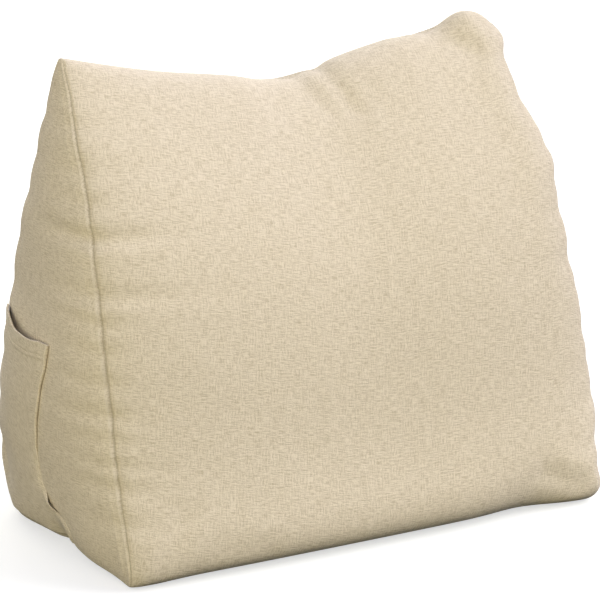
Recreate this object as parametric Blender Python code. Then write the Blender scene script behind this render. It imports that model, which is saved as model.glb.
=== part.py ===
"""Backrest pillow: a filled wedge of linen-look cloth with a patch pocket on its left side.

The front slopes back from the floor to a narrow ridge and the back drops steeply from it.
Front, ridge, back and base are one wrapped cloth, closed at each end by a three-cornered
side panel. Units are metres, +Z is up and the front faces -Y.
"""

import bmesh
import bpy
import numpy as np

MM = 0.001

# Corners of the side panels, measured from the point on the floor below the ridge
FRONT_FOOT = -151 * MM
BACK_FOOT = 84 * MM
HEIGHT = 400 * MM
HALF_WIDTH_FOOT = 225 * MM
HALF_WIDTH_TOP = {"left": 203 * MM, "right": 197 * MM}
SEAM_OUT = {"left": 1 * MM, "right": 4 * MM}  # how far a side seam bends outward halfway up
BOX_MIDDLE = (-1.6 * MM, -31.7 * MM)  # the whole part is moved by this to sit over the origin

# What the filling does to the wrapped cloth, at the side seams and halfway between them
RIDGE_HALF = {"seam": 3 * MM, "middle": 15 * MM}
CORNER_SOFTNESS = {"seam": 2.5 * MM, "middle": 14 * MM}
FRONT_BOW = {"seam": 27 * MM, "middle": 43 * MM}
BACK_BOW = {"seam": 11 * MM, "middle": 30 * MM}
BASE_BOW = {"seam": -7 * MM, "middle": 4 * MM}  # the floor flattens what bows below it
FOOT_SPREAD = 18 * MM  # the lower edges stand out this much more halfway along
BOW_HEIGHT = 1.2  # above 1 the front bows more in its upper half
FULLNESS_POWERS = (3, 0.6)

# Height the ridge loses to the sagging filling, from the left seam (-1) to the right (1)
RIDGE_STATIONS = (-1.0, -0.81, -0.55, -0.24, -0.06, 0.07, 0.18, 0.28, 0.50, 0.75, 0.91, 1.0)
RIDGE_DROPS = tuple(drop * MM for drop in (0, 7.7, 15.7, 28, 34, 35, 30, 21.5, 15, 9.8, 1, 0))

# Swelling of the side panels, greatest where the three seams are all far away
PANEL_MIDDLE = (-22 * MM, 125 * MM)
SWELL = {"left": 21 * MM, "right": 22 * MM}
SWELL_POWER = 0.55

# Hollows in the left panel under and above its pocket, in millimetres
HOLLOW_COLUMNS = ("y", "z", "depth", "half_y", "half_z")
HOLLOWS_LEFT = (
    (8, 190, 5.0, 55, 60),
    (66, 40, 8.0, 42, 36),
)

# Puckers along the side seams, in millimetres: height up the seam, depth, half the height
# of the trough, reach over the wrapped cloth and over the side panel, and rise per
# millimetre away from the seam
PUCKER_TURN = 7 * MM  # a pucker's pull on one face fades over this past the seam
PUCKER_COLUMNS = ("height", "depth", "half", "reach_wrap", "reach_panel", "rise")
PUCKERS_LEFT_FRONT = (
    (336, 1.6, 11, 60, 26, -0.10),
    (283, 3.2, 8, 60, 40, 0.00),
    (240, 2.0, 8, 80, 46, -0.04),
    (218, 2.2, 7, 34, 34, 0.10),
    (190, 1.8, 6, 24, 42, 0.04),
    (166, 1.6, 6, 22, 44, 0.02),
    (140, 2.2, 7, 28, 48, -0.10),
    (114, 2.0, 7, 24, 44, -0.14),
    (80, 2.4, 8, 44, 40, -0.12),
)
PUCKERS_RIGHT_FRONT = (
    (356, 2.0, 10, 26, 24, 0.00),
    (308, 1.8, 11, 34, 34, 0.05),
    (264, 2.6, 10, 40, 38, 0.00),
    (222, 1.8, 8, 30, 34, 0.00),
    (192, 2.0, 8, 32, 36, 0.04),
    (160, 1.8, 8, 30, 34, 0.00),
    (128, 1.8, 8, 34, 36, -0.04),
    (94, 1.8, 8, 30, 36, 0.00),
    (58, 2.4, 9, 40, 34, 0.00),
)
PUCKERS_BACK = (
    (338, 1.8, 10, 44, 26, 0.00),
    (290, 2.4, 9, 60, 34, 0.05),
    (242, 1.8, 8, 42, 36, -0.05),
    (200, 2.2, 9, 54, 36, 0.00),
    (152, 1.8, 8, 40, 38, 0.06),
    (108, 2.2, 9, 48, 36, -0.06),
    (64, 2.0, 9, 40, 32, 0.00),
)

# Dimples along the ridge, in millimetres: place, depth, half-length and reach downward
DIMPLE_COLUMNS = ("x", "depth", "half", "reach")
DIMPLES = (
    (14, 4.0, 16, 30),
    (66, 5.0, 11, 26),
    (168, 3.5, 18, 26),
    (-120, 2.0, 28, 30),
)

# Patch pocket on the left panel: its mouth and front edge follow these (y, z) places
POCKET_MOUTH = tuple((y * MM, z * MM) for y, z in ((-44, 175), (-20, 178), (6, 187), (62, 197)))
POCKET_FRONT = tuple((y * MM, z * MM) for y, z in ((-47, 9), (-42, 60), (-37, 115), (-44, 175)))
POCKET_BACK_INSET = 9 * MM
POCKET_FOOT_INSET = 6 * MM
POCKET_CLOTH = 2 * MM
POCKET_GAPS = {"sewn": 0.8 * MM, "body": 4 * MM, "mouth": 5 * MM}

# Mesh rows: points on the drawn outline, rows kept from it, stations, rings, pocket facets
OUTLINE_POINTS = {"base": 150, "front": 300, "ridge": 12, "back": 300}
OUTLINE_ROWS = {"base": 12, "front": 58, "ridge": 4, "back": 40}
CORNER_GRADING = 0.5
STATIONS = 33
PANEL_RINGS = 8
POCKET_FACETS = (14, 20)

CLOTH_COLOUR = (0.70, 0.60, 0.44)


def smooth_curve(at, places, values):
    """Values on a smooth curve through (places, values), one cubic for each span."""
    places, values = np.asarray(places, float), np.asarray(values, float)
    slopes = np.gradient(values, places)
    at = np.clip(at, places[0], places[-1])
    span = np.clip(np.searchsorted(places, at, side="right") - 1, 0, len(places) - 2)
    width = places[span + 1] - places[span]
    t = (at - places[span]) / width
    ends = (1 + 2 * t) * (1 - t) ** 2 * values[span] + t**2 * (3 - 2 * t) * values[span + 1]
    tilts = t * (1 - t) ** 2 * slopes[span] - t**2 * (1 - t) * slopes[span + 1]
    return ends + width * tilts


def fullness(u):
    """Share of the filling's effect: 0 at a side seam (u = -1 or 1), 1 halfway between."""
    inner, outer = FULLNESS_POWERS
    return np.maximum(0, 1 - np.abs(u) ** inner) ** outer


def along(sizes, u):
    """A size that changes from its seam value to its middle value along the pillow."""
    return sizes["seam"] + (sizes["middle"] - sizes["seam"]) * fullness(u)


def bowed_side(start, end, bow, count, lean=1.0):
    """One side of each outline: a line from start to end that bows to its left."""
    share = (np.arange(count) / count)[:, None]
    run = (end - start)[:, None]
    normal = np.stack([-run[..., 1], run[..., 0]], -1)
    normal = normal / np.linalg.norm(normal, axis=-1, keepdims=True)
    crown = bow[:, None, None] * np.sin(np.pi * share**lean)
    return start[:, None] + run * share + normal * crown


def softened(outlines, softness, step):
    """Closed outlines with rounded corners, made by damping the fast turns of each."""
    turns = np.fft.fftfreq(outlines.shape[1])
    damping = np.exp(-2 * (np.pi * turns * softness[:, None] / step) ** 2)
    path = outlines[..., 0] + 1j * outlines[..., 1]
    rounded = np.fft.ifft(np.fft.fft(path, axis=1) * damping, axis=1)
    return np.stack([rounded.real, rounded.imag], -1)


def wrap_outlines(u):
    """Outlines (y, z) of the wrapped cloth at stations u: forward under the base, up the
    front, over the ridge and down the back, before any pucker."""
    spread = FOOT_SPREAD * fullness(u)
    ridge = along(RIDGE_HALF, u)
    top = HEIGHT - smooth_curve(u, RIDGE_STATIONS, RIDGE_DROPS)
    floor = np.zeros_like(top)
    back_foot = np.stack([BACK_FOOT + spread, floor], -1)
    front_foot = np.stack([FRONT_FOOT - spread, floor], -1)
    front_top = np.stack([-ridge, top], -1)
    back_top = np.stack([ridge, top], -1)
    sides = (
        bowed_side(back_foot, front_foot, along(BASE_BOW, u), OUTLINE_POINTS["base"]),
        bowed_side(front_foot, front_top, along(FRONT_BOW, u), OUTLINE_POINTS["front"], BOW_HEIGHT),
        bowed_side(front_top, back_top, floor, OUTLINE_POINTS["ridge"]),
        bowed_side(back_top, back_foot, along(BACK_BOW, u), OUTLINE_POINTS["back"], 1 / BOW_HEIGHT),
    )
    step = np.hypot(FRONT_FOOT, HEIGHT) / OUTLINE_POINTS["front"]
    return softened(np.concatenate(sides, axis=1), along(CORNER_SOFTNESS, u), step)


def outline_rows():
    """Which outline points become mesh rows, closer together near the corners, and the
    side that each belongs to."""
    picks, names, start = [], [], 0
    for side, points in OUTLINE_POINTS.items():
        share = np.arange(OUTLINE_ROWS[side]) / OUTLINE_ROWS[side]
        graded = share - CORNER_GRADING * np.sin(2 * np.pi * share) / (2 * np.pi)
        picks.append(start + np.round(graded * points).astype(int))
        names += [side] * len(share)
        start += points
    return np.concatenate(picks), np.array(names)


def seam_half_width(z, hand):
    """Distance of a side seam from the middle plane at height z."""
    up = np.clip(z / HEIGHT, 0, 1)
    lean = (HALF_WIDTH_TOP[hand] - HALF_WIDTH_FOOT) * up**2
    return HALF_WIDTH_FOOT + lean + SEAM_OUT[hand] * np.sin(np.pi * up)


def pucker_pull(height, away, table, reach):
    """How far the puckers of a seam pull the cloth in, at a height and distance from it."""
    pull = 0 * (height + away)
    for row in table:
        pucker = {name: value * MM for name, value in zip(PUCKER_COLUMNS, row)}
        centre = pucker["height"] + pucker["rise"] / MM * away
        across = (height - centre) / pucker["half"]
        pull = pull + pucker["depth"] * np.exp(-(across**2) - (away / pucker[reach]) ** 2)
    return pull


def front_puckers(hand):
    """Pucker table of the front seam on one hand."""
    return PUCKERS_LEFT_FRONT if hand == "left" else PUCKERS_RIGHT_FRONT


def wrap_surface(u):
    """Points (stations, rows, 3) of the wrapped cloth with its puckers and dimples."""
    picks, sides = outline_rows()
    outlines = wrap_outlines(u)
    tangents = np.roll(outlines, -1, axis=1) - np.roll(outlines, 1, axis=1)
    tangents /= np.linalg.norm(tangents, axis=-1, keepdims=True)
    y, z = outlines[:, picks, 0], outlines[:, picks, 1]
    out_y, out_z = -tangents[:, picks, 1], tangents[:, picks, 0]
    u = u[:, None]
    left, right = seam_half_width(z, "left"), seam_half_width(z, "right")
    x = np.where(u < 0, u * left, u * right)
    away = np.where(u < 0, left + x, right - x)
    pull = 0 * x
    for hand, here in (("left", u < 0), ("right", u >= 0)):
        front = pucker_pull(z, away, front_puckers(hand), "reach_wrap")
        back = pucker_pull(z, away, PUCKERS_BACK, "reach_wrap")
        pull += here * (front * (sides == "front") + back * (sides == "back"))
    x = x - np.sign(u) * pull * np.exp(-((away / PUCKER_TURN) ** 2))
    y, z = y - out_y * pull, z - out_z * pull
    ridge = z.max(axis=1, keepdims=True)
    for row in DIMPLES:
        dimple = {name: value * MM for name, value in zip(DIMPLE_COLUMNS, row)}
        near = ((x - dimple["x"]) / dimple["half"]) ** 2 + ((ridge - z) / dimple["reach"]) ** 2
        z = z - dimple["depth"] * np.exp(-near)
    return np.stack([x, y, np.maximum(z, 0)], -1)


def seam_curves(seam, sides):
    """Front, back and base curves of a side seam, each as rising keys and their values."""
    base, front, ridge, back = (seam[sides == side] for side in OUTLINE_POINTS)
    front_curve = np.concatenate([front, ridge[:2]])
    back_curve = np.concatenate([ridge[2:], back, base[:1]])[::-1]
    base_curve = np.concatenate([base, front[:1]])[::-1]
    return {"front": front_curve[:, ::-1].T, "back": back_curve[:, ::-1].T, "base": base_curve.T}


def panel_half_width(y, z, curves, hand):
    """Distance of a side panel's face from the middle plane at (y, z) inside its seam."""
    front = np.maximum(y - np.interp(z, *curves["front"]), 0)
    back = np.maximum(np.interp(z, *curves["back"]) - y, 0)
    base = np.maximum(z - np.interp(y, *curves["base"]), 0)
    room = 27 * front * back * base / (BACK_FOOT - FRONT_FOOT) ** 2 / HEIGHT
    crown = SWELL[hand] * room**SWELL_POWER
    if hand == "left":
        room_left = np.minimum(1, room * 4)
        for row in HOLLOWS_LEFT:
            hollow = {name: value * MM for name, value in zip(HOLLOW_COLUMNS, row)}
            across = ((y - hollow["y"]) / hollow["half_y"]) ** 2
            up = ((z - hollow["z"]) / hollow["half_z"]) ** 2
            crown = crown - room_left * hollow["depth"] * np.exp(-across - up)
    pull_front = pucker_pull(z, front, front_puckers(hand), "reach_panel")
    pull_back = pucker_pull(z, back, PUCKERS_BACK, "reach_panel")
    return seam_half_width(z, hand) + crown - pull_front - pull_back


def cushion_mesh():
    """Vertices and faces of the filled body: the wrapped cloth and both side panels."""
    u = np.sin(np.linspace(-np.pi / 2, np.pi / 2, STATIONS))
    wrap = wrap_surface(u)
    stations, rows = wrap.shape[:2]
    faces = []
    for i in range(stations - 1):
        for j in range(rows):
            k = (j + 1) % rows
            a, b = i * rows, (i + 1) * rows
            faces.append((a + j, b + j, b + k, a + k))
    points = [tuple(point) for point in wrap.reshape(-1, 3)]
    shares = np.cos(np.linspace(0, np.pi / 2, PANEL_RINGS + 1))[1:-1] ** 0.8
    middle = np.array(PANEL_MIDDLE)
    _, sides = outline_rows()
    for hand, sign, station in (("left", -1, 0), ("right", 1, stations - 1)):
        seam = wrap[station, :, 1:]
        curves = seam_curves(seam, sides)
        outer = np.arange(rows) + station * rows
        for share in np.append(shares, 0):
            ring = middle + share * (seam - middle) if share else middle[None]
            x = sign * panel_half_width(ring[:, 0], ring[:, 1], curves, hand)
            first = len(points)
            points += [(x[i], ring[i, 0], ring[i, 1]) for i in range(len(ring))]
            for j in range(rows):
                k = (j + 1) % rows
                inner = (first + k, first + j) if share else (first,)
                face = (outer[j], outer[k], *inner)
                faces.append(face if sign < 0 else face[::-1])
            outer = first + np.arange(rows)
    return points, faces


def pocket_grid():
    """Inner face of the pocket as a grid from its front edge back and from foot to mouth,
    with the direction that points away from the side panel."""
    _, sides = outline_rows()
    curves = seam_curves(wrap_surface(np.array([-1.0]))[0, :, 1:], sides)
    columns, levels = POCKET_FACETS
    across = np.linspace(0, 1, columns + 1)[:, None]
    up = np.linspace(0, 1, levels + 1)[None]
    mouth_y, mouth_z = np.array(POCKET_MOUTH).T
    front_y, front_z = np.array(POCKET_FRONT).T
    # Heights first: the foot follows the base seam and the mouth its own line
    y = front_y[0] + (mouth_y[-1] - front_y[0]) * across
    foot = np.interp(y, *curves["base"]) + POCKET_FOOT_INSET
    z = foot + (smooth_curve(y, mouth_y, mouth_z) - foot) * up
    left_y = smooth_curve(z, front_z, front_y)
    right_y = np.interp(z, *curves["back"]) - POCKET_BACK_INSET
    y = left_y + (right_y - left_y) * across
    nudge = 0.5 * MM

    def half_width(y, z):
        return panel_half_width(y, z, curves, "left")

    slope_y = (half_width(y + nudge, z) - half_width(y - nudge, z)) / (2 * nudge)
    slope_z = (half_width(y, z + nudge) - half_width(y, z - nudge)) / (2 * nudge)
    away = np.stack([-np.ones_like(y), -slope_y, -slope_z], -1)
    away /= np.linalg.norm(away, axis=-1, keepdims=True)
    middle = np.sin(np.pi * across) ** 0.6
    lift = POCKET_GAPS["body"] * np.sin(np.pi / 2 * up**0.7) + POCKET_GAPS["mouth"] * up**4
    gap = POCKET_GAPS["sewn"] + middle * lift
    inner = np.stack([-half_width(y, z), y, z], -1) + away * gap[..., None]
    return inner, away


def pocket_mesh():
    """Vertices and faces of the pocket: one sheet of cloth with an inner and outer face."""
    inner, away = pocket_grid()
    outer = inner + away * POCKET_CLOTH
    columns, levels = inner.shape[0] - 1, inner.shape[1] - 1
    width, size = levels + 1, inner.shape[0] * inner.shape[1]
    faces = []
    for i in range(columns):
        for j in range(levels):
            a, b = i * width + j, (i + 1) * width + j
            faces.append((a, b, b + 1, a + 1))
            faces.append((size + a, size + a + 1, size + b + 1, size + b))
    rim = [i * width for i in range(columns)]
    rim += [columns * width + j for j in range(levels)]
    rim += [i * width + levels for i in range(columns, 0, -1)]
    rim += list(range(levels, 0, -1))
    for k, a in enumerate(rim):
        b = rim[(k + 1) % len(rim)]
        faces.append((a, size + a, size + b, b))
    points = [tuple(p) for p in inner.reshape(-1, 3)] + [tuple(p) for p in outer.reshape(-1, 3)]
    return points, faces


def cloth_material(name, shade):
    """Matt cloth, its colour scaled by a shade."""
    material = bpy.data.materials.new(name)
    material.use_nodes = True
    shader = material.node_tree.nodes["Principled BSDF"]
    colour = [channel * shade for channel in CLOTH_COLOUR]
    shader.inputs["Base Color"].default_value = (*colour, 1)
    shader.inputs["Roughness"].default_value = 0.92
    return material


def solid(name, mesh_data, material, collection):
    """A closed object from points and faces, moved over the origin, normals outward."""
    points, faces = mesh_data
    moved = [(x - BOX_MIDDLE[0], y - BOX_MIDDLE[1], z) for x, y, z in points]
    mesh = bpy.data.meshes.new(name)
    mesh.from_pydata(moved, [], faces)
    shape = bmesh.new()
    shape.from_mesh(mesh)
    bmesh.ops.recalc_face_normals(shape, faces=shape.faces)
    bmesh.ops.triangulate(shape, faces=shape.faces)
    shape.to_mesh(mesh)
    shape.free()
    mesh.materials.append(material)
    piece = bpy.data.objects.new(name, mesh)
    collection.objects.link(piece)
    return piece


def main():
    """Build the pillow in its own collection."""
    for old in list(bpy.data.objects):
        bpy.data.objects.remove(old, do_unlink=True)
    collection = bpy.data.collections.new("backrest_pillow")
    bpy.context.scene.collection.children.link(collection)
    body_cloth = cloth_material("body_cloth", 1.0)
    pocket_cloth = cloth_material("pocket_cloth", 0.97)
    solid("cushion_body", cushion_mesh(), body_cloth, collection)
    solid("side_pocket", pocket_mesh(), pocket_cloth, collection)


main()
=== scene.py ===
"""Backrest pillow: the linen-look wedge and its side pocket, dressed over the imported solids.

The body is one closed cover on a filled wedge, worked out station by station, with drawn
seams, puckers and a sagging ridge. The pocket is a hemmed sheet sewn to the left panel.
"""

import math

import bpy
import numpy as np
from bpy.props import FloatProperty, FloatVectorProperty, IntProperty, PointerProperty
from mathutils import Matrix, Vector


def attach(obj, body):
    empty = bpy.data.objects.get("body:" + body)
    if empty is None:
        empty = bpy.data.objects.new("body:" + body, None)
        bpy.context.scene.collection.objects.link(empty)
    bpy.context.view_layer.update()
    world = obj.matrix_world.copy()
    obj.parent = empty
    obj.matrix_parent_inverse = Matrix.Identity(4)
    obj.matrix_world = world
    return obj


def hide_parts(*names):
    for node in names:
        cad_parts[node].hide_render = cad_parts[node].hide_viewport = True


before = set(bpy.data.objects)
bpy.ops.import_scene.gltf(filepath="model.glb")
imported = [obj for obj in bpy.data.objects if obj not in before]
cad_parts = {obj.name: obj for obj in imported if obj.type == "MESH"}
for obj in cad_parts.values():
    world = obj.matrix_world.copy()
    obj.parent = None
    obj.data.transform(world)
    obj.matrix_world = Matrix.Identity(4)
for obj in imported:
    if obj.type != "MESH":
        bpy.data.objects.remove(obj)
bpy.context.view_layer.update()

bl_info = {
    "name": "Backrest Pillow",
    "version": (1, 0, 0),
    "blender": (4, 5, 0),
    "location": "View3D > Sidebar > Pillow",
    "description": "Sews a filled wedge backrest in linen-look cloth with a side pocket",
    "category": "Add Mesh",
}

MM = 0.001

# Stations from the left seam (-1) to the right (1), and the millimetres of height that the
# ridge loses there to the sagging filling
RIDGE = (
    (-1.00, 0.0), (-0.81, 7.7), (-0.55, 18.0), (-0.24, 28.0), (-0.06, 34.5),
    (0.07, 34.8), (0.18, 30.0), (0.28, 24.0), (0.50, 15.0), (0.75, 9.8),
    (0.91, 0.6), (0.97, 6.5), (1.00, 14.0),
)

# Puckers along the side seams, in millimetres: height up the seam, depth, half the height
# of the trough, reach over the wrapped cloth (WRAP) and over the side panel (PANEL), and
# millimetres that the trough rises for each one away from the seam
WRAP, PANEL = 0, 1
PUCKERS_LEFT_FRONT = (
    (352, 0.9, 7, 20, 22, 0.10),
    (320, 1.2, 10, 70, 20, -0.04),
    (296, 0.8, 6, 22, 30, 0.10),
    (270, 3.4, 7, 52, 46, 0.02),
    (228, 1.8, 8, 80, 52, -0.05),
    (206, 1.5, 6, 20, 38, 0.06),
    (184, 0.8, 5, 14, 34, 0.02),
    (160, 1.2, 6, 14, 44, -0.04),
    (136, 1.5, 6, 16, 48, -0.12),
    (117, 0.8, 5, 14, 40, -0.14),
    (97, 1.1, 5, 34, 24, -0.10),
    (80, 1.4, 7, 16, 40, -0.12),
    (52, 0.7, 6, 22, 26, -0.10),
)
PUCKERS_RIGHT_FRONT = (
    (366, 1.6, 8, 22, 20, 0.00),
    (330, 1.6, 9, 26, 26, 0.05),
    (292, 2.0, 8, 22, 30, -0.06),
    (264, 0.9, 6, 20, 18, 0.04),
    (240, 1.2, 8, 26, 34, 0.08),
    (204, 1.3, 9, 34, 22, 0.05),
    (178, 0.8, 6, 28, 38, -0.08),
    (140, 1.1, 8, 24, 32, -0.10),
    (116, 0.6, 5, 18, 20, 0.04),
    (88, 1.0, 7, 22, 34, -0.14),
    (50, 1.4, 9, 26, 22, -0.05),
)
PUCKERS_FRONT = {"left": PUCKERS_LEFT_FRONT, "right": PUCKERS_RIGHT_FRONT}
PUCKERS_BACK = (
    (352, 0.8, 9, 26, 16, 0.00),
    (318, 1.0, 11, 44, 20, 0.03),
    (284, 1.2, 11, 60, 24, 0.05),
    (246, 0.8, 10, 40, 22, -0.05),
    (206, 1.2, 11, 56, 24, 0.00),
    (172, 0.8, 9, 24, 20, 0.04),
    (146, 1.0, 10, 40, 24, 0.06),
    (106, 1.2, 11, 48, 24, -0.06),
    (64, 1.5, 11, 40, 22, 0.00),
)

# Creases pressed into the front and back, in millimetres: from x, from z, to x, to z, depth
# and half width
CREASES_FRONT = (
    (-20, 350, 14, 354, 2.6, 14),
    (14, 356, 24, 338, 1.6, 9),
    (38, 366, 44, 340, 3.2, 8),
    (62, 360, 70, 336, 0.9, 9),
    (146, 384, 172, 372, 2.8, 12),
    (120, 378, 134, 370, 1.0, 10),
    (-182, 56, -204, 8, 1.2, 10),
    (-150, 26, -110, 20, 0.8, 12),
    (160, 36, 196, 20, 2.0, 10),
    (-60, 92, 30, 84, 0.5, 22),
    (-96, 196, -20, 190, 0.4, 24),
    (40, 250, 130, 236, 0.4, 26),
)
CREASES_BACK = (
    (-40, 346, -6, 350, 2.2, 13),
    (40, 362, 48, 334, 2.6, 9),
    (130, 374, 160, 362, 2.2, 12),
    (-182, 50, -206, 8, 1.8, 12),
    (180, 46, 206, 8, 1.8, 12),
    (-120, 210, -30, 200, 0.7, 26),
    (30, 150, 120, 160, 0.7, 28),
)

# Waves of a side seam between its puckers, in millimetres: height, how far out, half height
WAVES_LEFT = ((372, -1.0, 12), (300, -1.5, 20), (136, -1.0, 16))
WAVES_RIGHT = (
    (374, 7.0, 11), (352, -0.5, 12), (285, 8.3, 25),
    (196, -2.5, 12), (52, -5.0, 16), (30, -8.5, 14),
)
WAVES = {"left": WAVES_LEFT, "right": WAVES_RIGHT}

# How the filling settles at the feet, in millimetres: a place (x, y, z), the push there
# (x, y) and its half widths (x, y, z)
SETTLES = (
    (-225, 22, 4, -3.5, 0, 60, 44, 40),
    (-225, -92, 4, -4, 0, 60, 30, 34),
    (-225, -47, 0, 11, 0, 60, 10, 22),
    (-225, 88, 10, 6, -17, 80, 34, 46),
    (225, -150, 0, 0, -11, 55, 60, 60),
    (150, -150, 4, 0, 6, 36, 60, 34),
    (-212, -165, 0, -3, -5, 26, 30, 26),
)

# Hollows in the left panel, in millimetres: a place (y, z), a depth and half widths (y, z)
HOLLOWS_LEFT = (
    (8, 190, 5.0, 55, 60),
    (66, 40, 8.0, 42, 36),
)

# The pocket's mouth and front edge follow these places (y, z), in millimetres
POCKET_MOUTH = ((-49, 178), (-33, 176), (-10, 176), (8, 177), (24, 181), (40, 184), (62, 185))
POCKET_FRONT = (
    (-66, 6), (-61, 30), (-48, 39), (-38, 48), (-31, 57), (-28.5, 70), (-28, 84),
    (-30, 98), (-32, 111), (-36, 124), (-39, 138), (-45, 155), (-49, 178),
)

# Wide soft lamps: name, direction of the light, spread in degrees, strength and colour
LAMPS = (
    ("ceiling", (0, 0, -1), 150, 1.30, (0.42, 0.48, 1.00)),
    ("back", (-0.35, -0.9, -0.35), 60, 2.75, (1.00, 0.96, 0.80)),
    ("right", (-0.8, 0.3, -0.5), 50, 3.20, (1.00, 0.98, 1.00)),
    ("left", (0.9, 0.4, -0.2), 50, 1.94, (1.00, 0.94, 0.68)),
    ("front", (0.45, 0.85, -0.45), 50, 0.82, (1.00, 0.99, 0.72)),
)

# Points of the outline's four sides, and the mesh rows kept of them
OUTLINE_POINTS = {"base": 150, "front": 300, "ridge": 12, "back": 300}
OUTLINE_ROWS = {"base": 54, "front": 150, "ridge": 10, "back": 110}

# Above 1, the rings of a side panel lie closer together towards its seam
RING_POWER = 1.7

# Heights over which the shoulders fade out and the side panels flatten
SHOULDERS_FADE = (0.345, 0.385)
PANELS_FLATTEN = (0.12, 0.28)

# Reach of the puckers that draw a side seam in, of the seam's waves over its side panel, and
# of the strip beside the seam that stays free of creases
PUCKER_DRAW = 7 * MM
WAVE_REACH = 34 * MM
CREASE_FREE = 12 * MM

# Heights above the base seam over which the rolled lip rises, and the allowance's half width
LIP_RISES = (4 * MM, 16 * MM)
ALLOWANCE_HALF = 1.5 * MM

# Painted shade along the seams and the pocket's front edge, and a painted highlight along its
# fold where the strength is below 0: strength, distance, half width
PAINTED_SHADING_LINES = {
    "wrap": (0.45, 0, 0.30 * MM),
    "panel": (0.40, 0, 0.40 * MM),
    "rim": (0.15, 0, 0.40 * MM),
    "fold": (-0.60, 1.1 * MM, 0.9 * MM),
}
# Strength of the painted highlight on the rolled lip beside a side seam
LIP_PAINTED_HIGHLIGHT = 0.3

# Painted shade on the panel inside the pocket, and the distances over which it sets in
POCKET_PAINTED_SHADE = 0.5
PAINTED_SHADE_BELOW_MOUTH = (-1.5 * MM, 1 * MM)
PAINTED_SHADE_BEHIND_FRONT = (1 * MM, 5 * MM)

# Where the cloth coordinates of the side panels and the pocket start, clear of the others
PANEL_CLOTH = (1.0, 0.3)
POCKET_CLOTH = (-2.0, 0.1)

# The pocket's grid: its points across and up, and how much closer they lie at its edges
POCKET_GRID = (81, 121)
POCKET_GRADING = 0.7

# The pocket's rounded edges, its hem, the groove under the hem's stitches, and the lip of its
# folded front edge with the crease beside it
EDGE_ROUNDING = 0.9 * MM
HEM_STEP_WIDTH = 1.2 * MM
GROOVE_DEPTH, GROOVE_HALF = 0.45 * MM, 0.9 * MM
FOLD_AT, FOLD_HALF = 1.2 * MM, 1.3 * MM
FOLD_CREASE, FOLD_CREASE_HALF = 0.3 * MM, 1.0 * MM

# How far the front edge stands out at the foot, the heights over which it rises to 1, the half
# width of the strip that is sewn down there, and the share of the cloth's thickness pressed in
FOLD_AT_FOOT = 0.12
FOLD_RISES = (62 * MM, 112 * MM)
SEWN_HALF = 5 * MM
PRESSED = 0.6

# Stitches: distance from the hem's edge and the back edge, how many are left out on a side
# edge, reach from a stitch's middle in pitches, and points along and around its thread
HEM_INSET, BACK_INSET = 2 * MM, 3 * MM
LEFT_OUT = 3
STITCH_REACH, STITCH_POINTS, THREAD_SIDES = 0.36, 6, 6
THREAD_RADIUS = 0.20 * MM

# Features to a metre of cloth: patches where one way of the threads stands out, wander of the
# ribs, clouds of tone and soft dents
PATCHES_ACROSS, PATCHES_UP, WANDERS, CLOUDS, DENTS = 75.0, 95.0, 110.0, 9.0, 26.0

# The picture, in pixels: its width, the camera's focal length, and how far the target lies
# left of its middle and above it
PICTURE_WIDTH, FOCAL, TARGET_LEFT, TARGET_ABOVE = 600, 3500, 19.8, 70.33


def length(name, description, default, low=0.0):
    """A size property in metres."""
    return FloatProperty(
        name=name, description=description, default=default, min=low, unit="LENGTH", precision=4
    )


def number(name, description, default):
    """A plain number property."""
    return FloatProperty(name=name, description=description, default=default)


def colour(name, description, default):
    """A colour property."""
    return FloatVectorProperty(
        name=name, description=description, default=default, size=3, min=0, max=1, subtype="COLOR"
    )


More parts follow.
